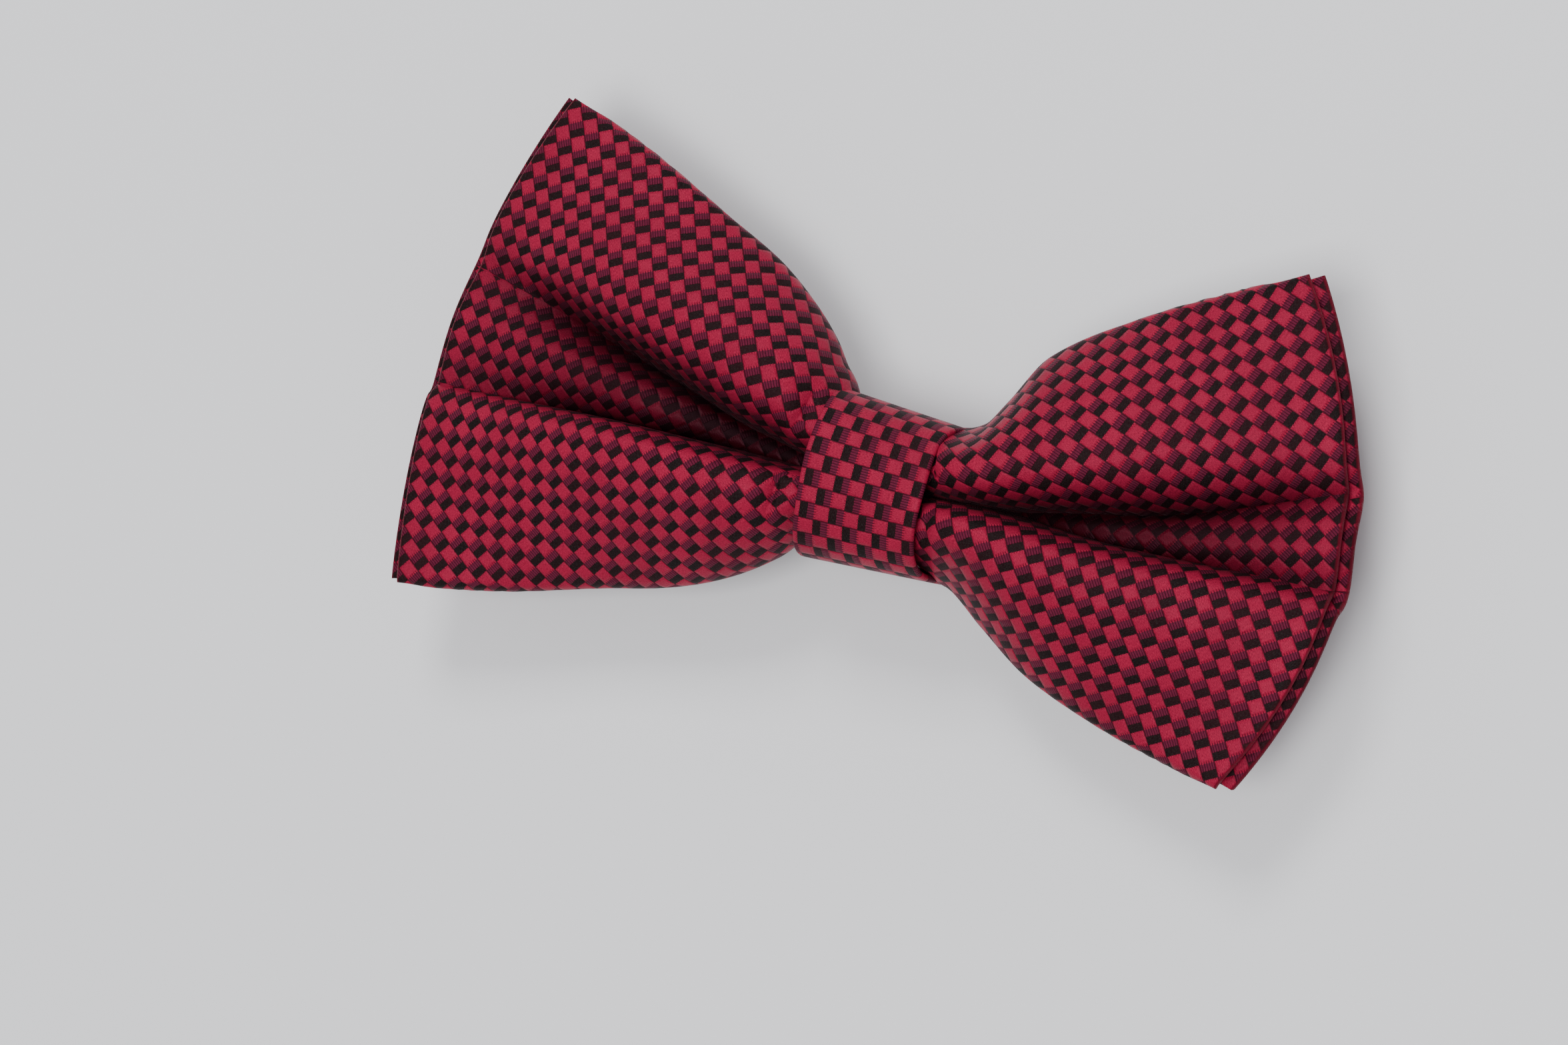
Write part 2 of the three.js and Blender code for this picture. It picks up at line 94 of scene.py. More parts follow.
# ------------------------------------------------------------------- small helpers
def smooth(k):
    k = np.clip(k, 0, 1)
    return k * k * (3 - 2 * k)


def monotone(xs, ys, x):
    """Smooth curve through points without overshoot (Fritsch-Carlson), for each column of ys."""
    xs, ys, x = np.asarray(xs, float), np.asarray(ys, float), np.asarray(x, float)
    h = np.diff(xs)
    slope = np.diff(ys, axis=0) / h[:, None]
    tangent = np.zeros_like(ys)
    same = slope[1:] * slope[:-1] > 0
    mean = 2 / (1 / np.where(same, slope[1:], 1) + 1 / np.where(same, slope[:-1], 1))
    tangent[1:-1] = np.where(same, mean, 0)
    tangent[0], tangent[-1] = slope[0], slope[-1]
    i = np.clip(np.searchsorted(xs, x, side="right") - 1, 0, len(xs) - 2)
    k = ((x - xs[i]) / h[i])[:, None]
    a, b = 2 * k**3 - 3 * k**2 + 1, k**3 - 2 * k**2 + k
    c, d = 3 * k**2 - 2 * k**3, k**3 - k**2
    step = h[i][:, None]
    return a * ys[i] + b * step * tangent[i] + c * ys[i + 1] + d * step * tangent[i + 1]


def natural(points, where):
    """Natural cubic spline through points (n, 2), at where in 0..1 of their index."""
    n = len(points)
    system = np.eye(n)
    right = np.zeros((n, 2))
    for i in range(1, n - 1):
        system[i, i - 1:i + 2] = 1, 4, 1
        right[i] = 6 * (points[i - 1] - 2 * points[i] + points[i + 1])
    bend = np.linalg.solve(system, right)
    x = where * (n - 1)
    i = np.clip(x.astype(int), 0, n - 2)
    k = (x - i)[:, None]
    j = 1 - k
    line = j * points[i] + k * points[i + 1]
    return line + ((j**3 - j) * bend[i] + (k**3 - k) * bend[i + 1]) / 6


def add_mesh(name, vertices, faces, material, uv=None, masks=None):
    """A smooth-shaded mesh. uv is per vertex, and so is each named mask."""
    mesh = bpy.data.meshes.new(name)
    mesh.from_pydata([tuple(v) for v in vertices], [], [tuple(f) for f in faces])
    mesh.polygons.foreach_set("use_smooth", [True] * len(mesh.polygons))
    loops = np.empty(len(mesh.loops), int)
    mesh.loops.foreach_get("vertex_index", loops)
    if uv is not None:
        layer = mesh.uv_layers.new(name="weave")
        layer.data.foreach_set("uv", np.asarray(uv)[loops].ravel())
    for mask, values in (masks or {}).items():
        attribute = mesh.attributes.new(mask, "FLOAT", "POINT")
        attribute.data.foreach_set("value", np.asarray(values, np.float32))
    mesh.materials.append(material)
    mesh.update()
    piece = bpy.data.objects.new(name, mesh)
    bpy.context.scene.collection.objects.link(piece)
    return piece


def grid_faces(rows, columns, start=0, flip=False):
    """Quads of a grid of vertices stored row by row."""
    i, j = np.meshgrid(np.arange(rows - 1), np.arange(columns - 1), indexing="ij")
    a = (start + i * columns + j).ravel()
    quads = np.stack([a, a + columns, a + columns + 1, a + 1], 1)
    return quads[:, ::-1] if flip else quads


# ---------------------------------------------------------------------- materials
def principled(name):
    material = bpy.data.materials.new(name)
    material.use_nodes = True
    nodes = material.node_tree.nodes
    shader = next(n for n in nodes if n.type == "BSDF_PRINCIPLED")
    return material, nodes, material.node_tree.links, shader


class Maths:
    """Short names for the math nodes of one tree."""

    def __init__(self, nodes, links):
        self.nodes, self.links = nodes, links

    def node(self, kind, **settings):
        node = self.nodes.new(kind)
        for key, value in settings.items():
            setattr(node, key, value)
        return node

    def connect(self, value, socket):
        if isinstance(value, bpy.types.NodeSocket):
            self.links.new(value, socket)
        else:
            socket.default_value = value

    def do(self, operation, *values):
        node = self.node("ShaderNodeMath", operation=operation)
        for value, socket in zip(values, node.inputs):
            self.connect(value, socket)
        return node.outputs[0]

    def ramp(self, value, low, high):
        """0 below low, 1 above high, smooth between."""
        node = self.node("ShaderNodeMapRange", interpolation_type="SMOOTHSTEP")
        self.connect(value, node.inputs[0])
        node.inputs[1].default_value = low
        node.inputs[2].default_value = high
        return node.outputs[0]

    def mix(self, share, first, second):
        node = self.node("ShaderNodeMix", data_type="RGBA")
        self.connect(share, node.inputs[0])
        self.connect(first, node.inputs[6])
        self.connect(second, node.inputs[7])
        return node.outputs[2]

    def noise(self, vector, scale, detail=2.0):
        node = self.node("ShaderNodeTexNoise")
        self.links.new(vector, node.inputs["Vector"])
        node.inputs["Scale"].default_value = scale
        node.inputs["Detail"].default_value = detail
        return node.outputs["Fac"]


def jacquard(name):
    """Checks of red satin, and between them checks that are half plum rib and half black twill.

    The weave map counts in cells: x along the rows, y across them.
    """
    material, nodes, links, shader = principled(name)
    m = Maths(nodes, links)
    uv = m.node("ShaderNodeUVMap", uv_map="weave").outputs[0]
    split = m.node("ShaderNodeSeparateXYZ")
    links.new(uv, split.inputs[0])
    x, y = split.outputs[0], split.outputs[1]

    # The threads run along the rows, RIBS to a cell, and part where two colours meet.
    ribs = 6.0
    thread = m.do("ABSOLUTE", m.do("SINE", m.do("MULTIPLY", y, math.pi * ribs)))
    gap = m.ramp(thread, 0.72, 0.08)                          # 1 between two threads
    wander = m.do("MULTIPLY", m.do("SUBTRACT", m.noise(uv, 9.0), 0.5), 0.09)
    x1 = m.do("ADD", m.do("ADD", x, wander), m.do("MULTIPLY", m.do("SUBTRACT", gap, 0.5), 0.05))
    y1 = m.do("ADD", y, m.do("MULTIPLY", m.do("SUBTRACT", m.noise(uv, 7.0), 0.5), 0.06))
    fx, fy = m.do("FRACT", x1), m.do("FRACT", y1)
    parity = m.do("MODULO", m.do("ADD", m.do("FLOOR", x1), m.do("FLOOR", y1)), 2.0)
    other = m.ramp(m.do("ABSOLUTE", parity), 0.4, 0.6)        # 1 in a split cell
    black = m.ramp(fx, 0.44, 0.48)                            # its second half
    plum = m.do("MULTIPLY", other, m.do("SUBTRACT", 1.0, black))
    black = m.do("MULTIPLY", other, black)

    # Distance to the cell's border, and the dark lines beside it.
    side = m.do("MINIMUM", fx, m.do("SUBTRACT", 1.0, fx))
    level = m.do("MINIMUM", fy, m.do("SUBTRACT", 1.0, fy))
    row_line = m.ramp(level, 0.10, 0.0)
    notch = m.do("MULTIPLY", m.ramp(side, 0.15, 0.03), gap)   # teeth at a cell's sides
    dark = m.do("MAXIMUM", row_line, m.do("MAXIMUM", notch, m.do("MULTIPLY", gap, plum)))
    dark = m.do("MULTIPLY", dark, m.do("SUBTRACT", 1.0, m.do("MULTIPLY", black, 0.8)))

    # Satin floats streak the red along the threads; the black is a fine twill.
    stretched = m.node("ShaderNodeMapping")
    stretched.inputs["Scale"].default_value = (1.0, 5.0, 1.0)
    links.new(uv, stretched.inputs["Vector"])
    streak = m.noise(stretched.outputs[0], 7.0, 4.0)
    crossed = m.node("ShaderNodeMapping")
    crossed.inputs["Scale"].default_value = (6.0, 1.0, 1.0)
    links.new(uv, crossed.inputs["Vector"])
    twill = m.noise(crossed.outputs[0], 6.0, 3.0)
    cloud = m.noise(uv, 0.22, 2.0)                            # slow change over the cloth

    red = m.mix(m.ramp(streak, 0.30, 0.72), (0.21, 0.006, 0.026, 1), (0.46, 0.018, 0.062, 1))
    plum_tone = m.mix(m.ramp(streak, 0.3, 0.7), (0.085, 0.007, 0.023, 1), (0.155, 0.014, 0.042, 1))
    black_tone = m.mix(m.ramp(twill, 0.42, 0.72), (0.0025, 0.0025, 0.0025, 1),
                       (0.016, 0.020, 0.017, 1))
    body = m.mix(black, m.mix(plum, red, plum_tone), black_tone)
    body = m.mix(m.do("MULTIPLY", m.ramp(cloud, 0.3, 0.7), 0.16), body, (0.06, 0.001, 0.008, 1))
    cloth = m.mix(m.do("MULTIPLY", dark, 0.85), body, (0.018, 0.001, 0.004, 1))
    rim = m.node("ShaderNodeAttribute", attribute_name="rim").outputs["Fac"]
    shade = m.node("ShaderNodeAttribute", attribute_name="shade").outputs["Fac"]
    # Painted light of the fold: a plain dark red over the hem at the rounded last row, by the rim
    # mask.
    cloth = m.mix(rim, cloth, (0.13, 0.003, 0.014, 1))
    # Painted shade: by the shade mask the cloth darkens to near black at the bottoms of its folds.
    cloth = m.mix(m.do("MULTIPLY", shade, 0.92), cloth, (0.004, 0.0004, 0.001, 1))
    links.new(cloth, shader.inputs["Base Color"])

    # Satin is the smoothest, the black twill the dullest.
    duller = m.do("ADD", m.do("MULTIPLY", plum, 0.10), m.do("MULTIPLY", black, 0.16))
    rough = m.do("ADD", 0.42, duller)
    links.new(rough, shader.inputs["Roughness"])

    # Height: the red and plum floats stand over the black, round at the cell's borders.
    crown = m.do("MULTIPLY", m.ramp(side, 0.0, 0.22), m.ramp(level, 0.0, 0.20))
    raised = m.do("MULTIPLY", crown, m.do("SUBTRACT", 1.0, m.do("MULTIPLY", black, 0.75)))
    threads = m.do("MULTIPLY", thread, m.do("ADD", 0.05, m.do("MULTIPLY", plum, 0.40)))
    height = m.do("ADD", m.do("ADD", raised, threads), m.do("MULTIPLY", streak, 0.25))
    bump = m.node("ShaderNodeBump")
    bump.inputs["Strength"].default_value = 0.8
    bump.inputs["Distance"].default_value = 0.00011
    links.new(height, bump.inputs["Height"])
    links.new(bump.outputs[0], shader.inputs["Normal"])

    shader.inputs["Specular IOR Level"].default_value = 0.14
    shader.inputs["Specular Tint"].default_value = (1.0, 0.42, 0.55, 1)
    shader.inputs["Sheen Weight"].default_value = 0.03
    shader.inputs["Sheen Roughness"].default_value = 0.4
    shader.inputs["Sheen Tint"].default_value = (1.0, 0.55, 0.65, 1)
    return material


def woven(name, low, high, scale, roughness, rib_strength=0.4):
    """Plain fine-ribbed cloth or tape; the weave map is in cells of the same size."""
    material, nodes, links, shader = principled(name)
    m = Maths(nodes, links)
    uv = m.node("ShaderNodeUVMap", uv_map="weave").outputs[0]
    split = m.node("ShaderNodeSeparateXYZ")
    links.new(uv, split.inputs[0])
    rib = m.do("SINE", m.do("MULTIPLY", split.outputs[0], 2 * math.pi * scale))
    yarn = m.do("SINE", m.do("MULTIPLY", split.outputs[1], 2 * math.pi * scale * 1.6))
    speck = m.noise(uv, 20.0, 3.0)
    share = m.do("ADD", m.do("MULTIPLY", m.ramp(rib, -1, 1), 0.6), m.do("MULTIPLY", speck, 0.4))
    links.new(m.mix(share, (*low, 1), (*high, 1)), shader.inputs["Base Color"])
    height = m.do("ADD", rib, m.do("MULTIPLY", yarn, 0.4))
    bump = m.node("ShaderNodeBump")
    bump.inputs["Strength"].default_value = rib_strength
    bump.inputs["Distance"].default_value = 0.0001
    links.new(height, bump.inputs["Height"])
    links.new(bump.outputs[0], shader.inputs["Normal"])
    shader.inputs["Roughness"].default_value = roughness
    shader.inputs["Sheen Weight"].default_value = 0.15
    return material


def metal(name):
    material, nodes, links, shader = principled(name)
    m = Maths(nodes, links)
    place = m.node("ShaderNodeTexCoord").outputs["Object"]
    wear = m.noise(place, 900.0, 4.0)
    tone = m.mix(wear, (0.50, 0.49, 0.47, 1), (0.68, 0.67, 0.64, 1))
    links.new(tone, shader.inputs["Base Color"])
    links.new(m.do("ADD", 0.22, m.do("MULTIPLY", wear, 0.16)), shader.inputs["Roughness"])
    shader.inputs["Metallic"].default_value = 1.0
    return material


def thread_material(name):
    material, nodes, links, shader = principled(name)
    m = Maths(nodes, links)
    place = m.node("ShaderNodeTexCoord").outputs["Object"]
    twist = m.node("ShaderNodeTexWave")
    links.new(place, twist.inputs["Vector"])
    twist.inputs["Scale"].default_value = 900
    twist.inputs["Distortion"].default_value = 1.5
    links.new(m.mix(twist.outputs["Fac"], (0.02, 0.002, 0.006, 1), (0.09, 0.008, 0.022, 1)),
              shader.inputs["Base Color"])
    bump = m.node("ShaderNodeBump")
    bump.inputs["Strength"].default_value = 0.4
    bump.inputs["Distance"].default_value = 0.0001
    links.new(twist.outputs["Fac"], bump.inputs["Height"])
    links.new(bump.outputs[0], shader.inputs["Normal"])
    shader.inputs["Roughness"].default_value = 0.55
    return material


CLOTH = jacquard("jacquard_cloth")
LINING = woven("interlining", (0.55, 0.52, 0.46), (0.75, 0.72, 0.66), 2.0, 0.9)
TAPE = woven("strap_webbing", (0.05, 0.004, 0.010), (0.16, 0.012, 0.034), 2.5, 0.5)
THREAD = thread_material("sewing_thread")
NICKEL = metal("plated_metal")

# ---------------------------------------------------------------- sheets and tubes
RIM = 0.55 * MM                  # a sheet's free edges round off over this
RIM_STEPS = 5


def to_rim(length, rim=RIM):
    """Shares of a length that crowd together in its last rim."""
    k = np.arange(1, RIM_STEPS + 1) / RIM_STEPS
    return 1 - rim / length * (1 - np.sin(k * math.pi / 2))


def rimmed(count, length, rim=RIM, both=True):
    """Shares 0 to 1 of a length, even in the middle and crowded at its rims."""
    last = to_rim(length, rim)
    first = (1 - last)[::-1] if both else np.array([0.0])
    step = (last[0] - first[-1]) / (count + 1)
    return np.concatenate([first, np.linspace(first[-1] + step, last[0] - step, count), last])


def lengths_along(surface, axis):
    """Distance along one way of a grid, from its start."""
    step = np.linalg.norm(np.diff(surface, axis=axis), axis=-1)
    zero = np.zeros_like(np.take(step, [0], axis=axis))
    return np.cumsum(np.concatenate([zero, step], axis=axis), axis=axis)


def normals_of(surface, towards=None):
    """Unit normals of a grid, on the side that towards points to."""
    n = np.cross(np.gradient(surface, axis=0), np.gradient(surface, axis=1))
    n /= np.linalg.norm(n, axis=-1, keepdims=True) + 1e-12
    middle = n[n.shape[0] // 2, n.shape[1] // 2]
    return -n if towards is not None and middle @ np.array(towards) < 0 else n


def closed_sheet(name, middle, half, material, uv, offset=0.0, rim=RIM, rounded=(1, 1),
                 towards=None, shade=None):
    """A sheet with two faces, from the grid of its middle surface, with rounded edges.

    rounded says whether the first and last rows are rounded edges; the sides always are.
    The mesh carries two masks for its material: rim is the hem at a rounded last row, where
    the material paints the light of the fold as a plain dark red, and shade, 0..1 for each point
    of the grid, is painted shade that grows with how deep in a fold the cloth lies.
    """
    normal = normals_of(middle, towards)
    along, over = lengths_along(middle, 0), lengths_along(middle, 1)
    far = np.full(along.shape, 10.0)
    near = np.where(rounded[0], along, far)
    near = np.minimum(near, np.where(rounded[1], along[-1:] - along, far))
    near = np.minimum(near, np.minimum(over, over[:, -1:] - over))
    near = np.clip(near / rim, 0, 1)
    swell = half * np.sqrt(np.clip(1 - (1 - near) ** 2, 0, 1))
    front = middle + normal * (offset + swell)[..., None]
    back = middle + normal * (offset - swell)[..., None]
    rows, columns = near.shape
    count = rows * columns
    vertices = np.concatenate([front.reshape(-1, 3), back.reshape(-1, 3)])
    faces = [grid_faces(rows, columns), grid_faces(rows, columns, count, True)]
    j = np.arange(columns - 1)
    last = (rows - 1) * columns
    faces.append(np.stack([j, j + 1, count + j + 1, count + j], 1))
    faces.append(np.stack([last + j, count + last + j, count + last + j + 1, last + j + 1], 1))
    join = np.arange(2 * count)
    edge = near.ravel() <= 0
    join[count:][edge] = np.arange(count)[edge]
    faces = join[np.concatenate(faces)]
    used = np.unique(faces)
    order = np.zeros(2 * count, int)
    order[used] = np.arange(len(used))
    quads = [list(dict.fromkeys(f)) for f in order[faces].tolist()]
    quads = [f for f in quads if len(f) > 2]
    points = vertices[used]
    a, b, c = (points[[f[i] for f in quads]] for i in range(3))
    if (a * np.cross(b, c)).sum() < 0:
        quads = [f[::-1] for f in quads]
    maps = np.concatenate([uv.reshape(-1, 2)] * 2)[used]
    to_end = np.clip((along[-1:] - along) / rim, 0, 1) if rounded[1] else np.ones_like(along)
    # Painted light of the fold: 1 along the folded hem at the last row, where the cloth is painted
    # a plain dark red.
    painted_fold_light = 1 - smooth((to_end - 0.25) / 0.5)             # the folded hem at the last row
    shade = 0 * near if shade is None else shade
    masks = {"rim": np.concatenate([painted_fold_light.ravel()] * 2)[used],
             "shade": np.concatenate([shade.ravel()] * 2)[used]}
    return add_mesh(name, points, quads, material, maps, masks)


def tubes(name, paths, radius, material, sides=8):
    """Round threads along paths of points, in one mesh, with closed pointed ends."""
    vertices, faces = [], []
    for path in paths:
        path = np.asarray(path, float)
        along = np.gradient(path, axis=0)
        along /= np.linalg.norm(along, axis=1, keepdims=True)
        side = np.cross(along[0], (0.31, 0.17, 0.93))
        start = len(vertices)
        for i, (point, way) in enumerate(zip(path, along)):
            side = side - way * (side @ way)
            side /= np.linalg.norm(side)
            other = np.cross(way, side)
            fat = radius * (0.35 if i in (0, len(path) - 1) else 1)
            for k in range(sides):
                angle = 2 * math.pi * k / sides
                vertices.append(point + fat * (side * math.cos(angle) + other * math.sin(angle)))
        for i in range(len(path) - 1):
            for k in range(sides):
                a, b = start + i * sides + k, start + i * sides + (k + 1) % sides
                faces.append([a, b, b + sides, a + sides])
        faces.append([start + k for k in range(sides)][::-1])
        faces.append([len(vertices) - sides + k for k in range(sides)])
    return add_mesh(name, vertices, faces, material)


# -------------------------------------------------------------------------- wings
# Sections of a wing, from its lower edge to its upper: height across and depth, in mm.
# They stand at the knot, just outside it, halfway and at the outer edge.
STATIONS = (0.0, 0.2, 0.5, 1.0)
AT_KNOT = ((-6.2, -2.6), (-7.2, -0.4), (-5.6, 2.4), (-3.0, 3.0), (-1.1, -1.2), (0, -1.0),
           (1.1, -1.2), (3.0, 3.0), (5.6, 2.4), (7.2, -0.4), (6.2, -2.6))
SECTIONS = {
    "right": (
        AT_KNOT,
        ((-15.2, -3.4), (-16.2, -1.6), (-11.8, 3.4), (-4.8, 5.6), (-2.4, -2.0), (-1.1, -2.3),
         (0.3, -2.8), (2.0, 3.4), (8.0, 6.2), (15.6, 0.4), (16.2, -2.4)),
        ((-23.6, -2.6), (-24.2, -1.4), (-17.0, 3.0), (-7.0, 4.9), (-4.9, -1.6), (-2.2, 0.5),
         (1.0, -2.7), (3.3, 2.6), (11.5, 5.4), (23.4, 0.4), (24.4, -1.0)),
        ((-31.0, -0.4), (-28.5, 0.0), (-18.0, 0.8), (-8.6, 1.0), (-5.6, -0.7), (0.6, 0.9),
         (6.0, -0.9), (9.6, 0.7), (19.0, 1.0), (28.6, 0.3), (31.0, 0.0)),
    ),
    "left": (
        AT_KNOT,
        ((-15.2, -3.0), (-16.2, -1.2), (-11.5, 3.8), (-4.0, 6.0), (-2.2, -1.8), (0.2, -0.6),
         (2.0, -2.8), (4.0, 3.6), (9.4, 6.2), (15.6, 0.6), (16.2, -2.2)),
        ((-23.6, -2.6), (-24.2, -1.4), (-16.0, 3.0), (-5.6, 5.4), (-4.4, -1.6), (0.8, 2.6),
         (4.6, -2.8), (8.0, 3.2), (14.5, 5.2), (23.4, 0.6), (24.4, -0.8)),
        ((-31.0, -0.4), (-28.5, -0.1), (-18.0, 0.5), (-8.6, 0.6), (-6.4, -0.3), (1.5, 0.5),
         (8.6, -0.1), (12.6, 0.5), (19.0, 0.7), (28.6, 0.4), (31.0, 0.2)),
    ),
}
# The wings' cloth is darkened by painted shade in its folds.
DEEP_FOLD = 5.6 * MM             # a fold this deep is at its darkest
VALLEYS = (4, 6)                 # which points of a section lie at the bottoms of its folds
# Each wing's outline: distance out from the knot's middle, and height of the edge there, in mm.
OUTLINES = {
    "right": {
        "low": ((5.8, 6.9), (7.8, 7.7), (9.2, 8.4), (10, 9.1), (11, 9.5), (16, 13.8), (22, 18.6),
                (30, 22.5), (42, 27.0), (58, 33.0)),
        "high": ((5.8, 6.9), (11, 7.3), (13.5, 8.3), (16, 11.4), (20, 16.9), (30, 22.3), (42, 27.3),
                 (58, 33.8)),
    },
    "left": {
        "low": ((5.8, 6.9), (7.4, 7.9), (9.6, 10.8), (16, 15.9), (22, 19.0), (30, 21.9), (42, 26.6),
                (60, 32.7)),
        "high": ((5.8, 6.9), (7.2, 9.5), (8.2, 10.7), (9.6, 11.8), (12, 14.3), (16, 17.4),
                 (22, 20.9), (30, 23.9), (42, 28.5), (60, 34.2)),
    },
}
REACH = {"right": 57.6 * MM, "left": 59.3 * MM}
CUT = {"right": (10.5 * MM, 8.2 * MM), "left": (3.8 * MM, 5.2 * MM)}   # lower and upper corners
ROWS, COLUMNS = 88, 156          # the wing's grid, apart from its rims
MAP_LENGTH = 53 * MM             # where the weave map puts a wing's outer edge
FLARE = 0.78                     # below 1, a section changes fastest near the knot
BAND_ROOF, ROOF_POWER = 4.5, 2.2             # mm over the knot's middle, and its roundness
ROOF_ENDS, ROOF_OPENS, ROOF_RISE = 9.8, 5.0, 12.0    # mm out from the knot, over, and up


def wing_surface(side, extra):
    """The middle surface of a wing's cloth: points (rows, columns, 3) in the row frame."""
    t = rimmed(ROWS, 50 * MM, both=False)
    across = rimmed(COLUMNS, 2 * HALF_CLOTH)
    sections = np.array([natural(np.array(s, float), across) for s in SECTIONS[side]])
    stations = np.array(STATIONS) ** FLARE
    stacked = monotone(stations, sections.reshape(len(STATIONS), -1), t**FLARE)
    v, z = np.moveaxis(stacked.reshape(len(t), -1, 2), 2, 0)
    share = sections[-1][:, 0] * MM / HALF_CLOTH
    cut = np.where(share < 0, *CUT[side])
    u = WING_ROOT + t[:, None] * (REACH[side] + extra - cut * share**2 - WING_ROOT)
    for name, edge, way in (("low", 0, -1), ("high", -1, 1)):
        places, heights = np.array(OUTLINES[side][name]).T
        wanted = monotone(places, heights[:, None], u[:, edge] / MM)
        v = np.where(way * v > 0, v * wanted / (way * v).max(axis=1, keepdims=True), v)
    # Inside the knot band the cloth keeps lower, under the band's rounded front.
    half = abs(v).max(axis=1, keepdims=True) + 1.0
    roof = BAND_ROOF * np.clip(1 - (abs(v) / half) ** ROOF_POWER, 0, 1) ** (1 / ROOF_POWER)
    z = np.minimum(z, roof + ROOF_RISE * smooth((u / MM - ROOF_ENDS) / ROOF_OPENS))
    v, z = v * MM, z * MM
    x = u * math.cos(WING_LIFT) - v * math.sin(WING_LIFT)
    y = u * math.sin(WING_LIFT) + v * math.cos(WING_LIFT) + KNOT_CENTRE.y
    return np.stack([x if side == "right" else -x, y, z + KNOT_CENTRE.z], -1), across


def painted_fold_shade(surface, way):
    """Painted shade for the cloth, 0..1: how deep each place lies in a fold, seen from the front
    (way 1) or the back (-1).
    """
    z = surface[..., 2] * way
    below = np.maximum.accumulate(z, axis=1)
    above = np.maximum.accumulate(z[:, ::-1], axis=1)[:, ::-1]
    lid = np.minimum(below, above)
    depth = np.clip((lid - z) / DEEP_FOLD, 0, 1)
    return depth * (1.5 - 0.5 * depth)


def flattened(points, start, rounds=30):
    """A flat map of a grid of points that keeps its lengths (as rigid as possible), near start."""
    rows, columns = points.shape[:2]
    i, j = np.meshgrid(np.arange(rows - 1), np.arange(columns - 1), indexing="ij")
    a = (i * columns + j).ravel()
    corners = np.concatenate([np.stack([a, a + columns, a + columns + 1], 1),
                              np.stack([a, a + columns + 1, a + 1], 1)])
    p, q = points.reshape(-1, 3), start.reshape(-1, 2).copy()
    first, second = p[corners[:, 1]] - p[corners[:, 0]], p[corners[:, 2]] - p[corners[:, 0]]
    length = np.linalg.norm(first, axis=1)
    along = (first * second).sum(axis=1) / length
    up = np.linalg.norm(np.cross(first, second), axis=1) / length
    zero = np.zeros_like(length)
    flat = np.stack([zero, zero, length, zero, along, up], 1).reshape(-1, 3, 2)
    system = 1e-9 * np.eye(len(p))
    edges = []
    for one, two, facing in ((0, 1, 2), (1, 2, 0), (2, 0, 1)):
        left, right = flat[:, one] - flat[:, facing], flat[:, two] - flat[:, facing]
        cross = abs(left[:, 0] * right[:, 1] - left[:, 1] * right[:, 0])
        weight = np.clip((left * right).sum(axis=1) / (cross + 1e-15), 0.02, 50)
        ends = corners[:, one], corners[:, two]
        edges.append((ends, weight, flat[:, one] - flat[:, two]))
        for row, column, sign in ((0, 0, 1), (1, 1, 1), (0, 1, -1), (1, 0, -1)):
            np.add.at(system, (ends[row], ends[column]), sign * weight)
    inverse = np.linalg.inv(system)
    for _ in range(rounds):
        same, turned = 0, 0
        for (one, two), weight, edge in edges:
            now = q[one] - q[two]
            same = same + weight * (edge * now).sum(axis=1)
            turned = turned + weight * (edge[:, 0] * now[:, 1] - edge[:, 1] * now[:, 0])
        angle = np.arctan2(turned, same)
        c, sn = np.cos(angle), np.sin(angle)
        wanted = 1e-9 * q
        for (one, two), weight, edge in edges:
            pull = np.stack([c * edge[:, 0] - sn * edge[:, 1], sn * edge[:, 0] + c * edge[:, 1]], 1)
            np.add.at(wanted, one, weight[:, None] * pull)
            np.add.at(wanted, two, -weight[:, None] * pull)
        q = inverse @ wanted
    return q.reshape(start.shape)


def settled(new, old):
    """The map new, turned and moved to lie on old at the wing's outer end."""
    outer = slice(len(new) * 2 // 3, None)
    a, b = new[outer].reshape(-1, 2), old[outer].reshape(-1, 2)
    middle_a, middle_b = a.mean(axis=0), b.mean(axis=0)
    a, b = a - middle_a, b - middle_b
    angle = math.atan2((a[:, 0] * b[:, 1] - a[:, 1] * b[:, 0]).sum(), (a * b).sum())
    c, sn = math.cos(angle), math.sin(angle)
    return (new - middle_a) @ np.array(((c, sn), (-sn, c))) + middle_b


def spread(change, row_places, column_places, rows, columns):
    """A coarse grid of changes, filled in to every row and column."""
    tall = np.stack([np.interp(rows, row_places, change[:, j]) for j in range(change.shape[1])], 1)
    return np.stack([np.interp(columns, column_places, line) for line in tall])


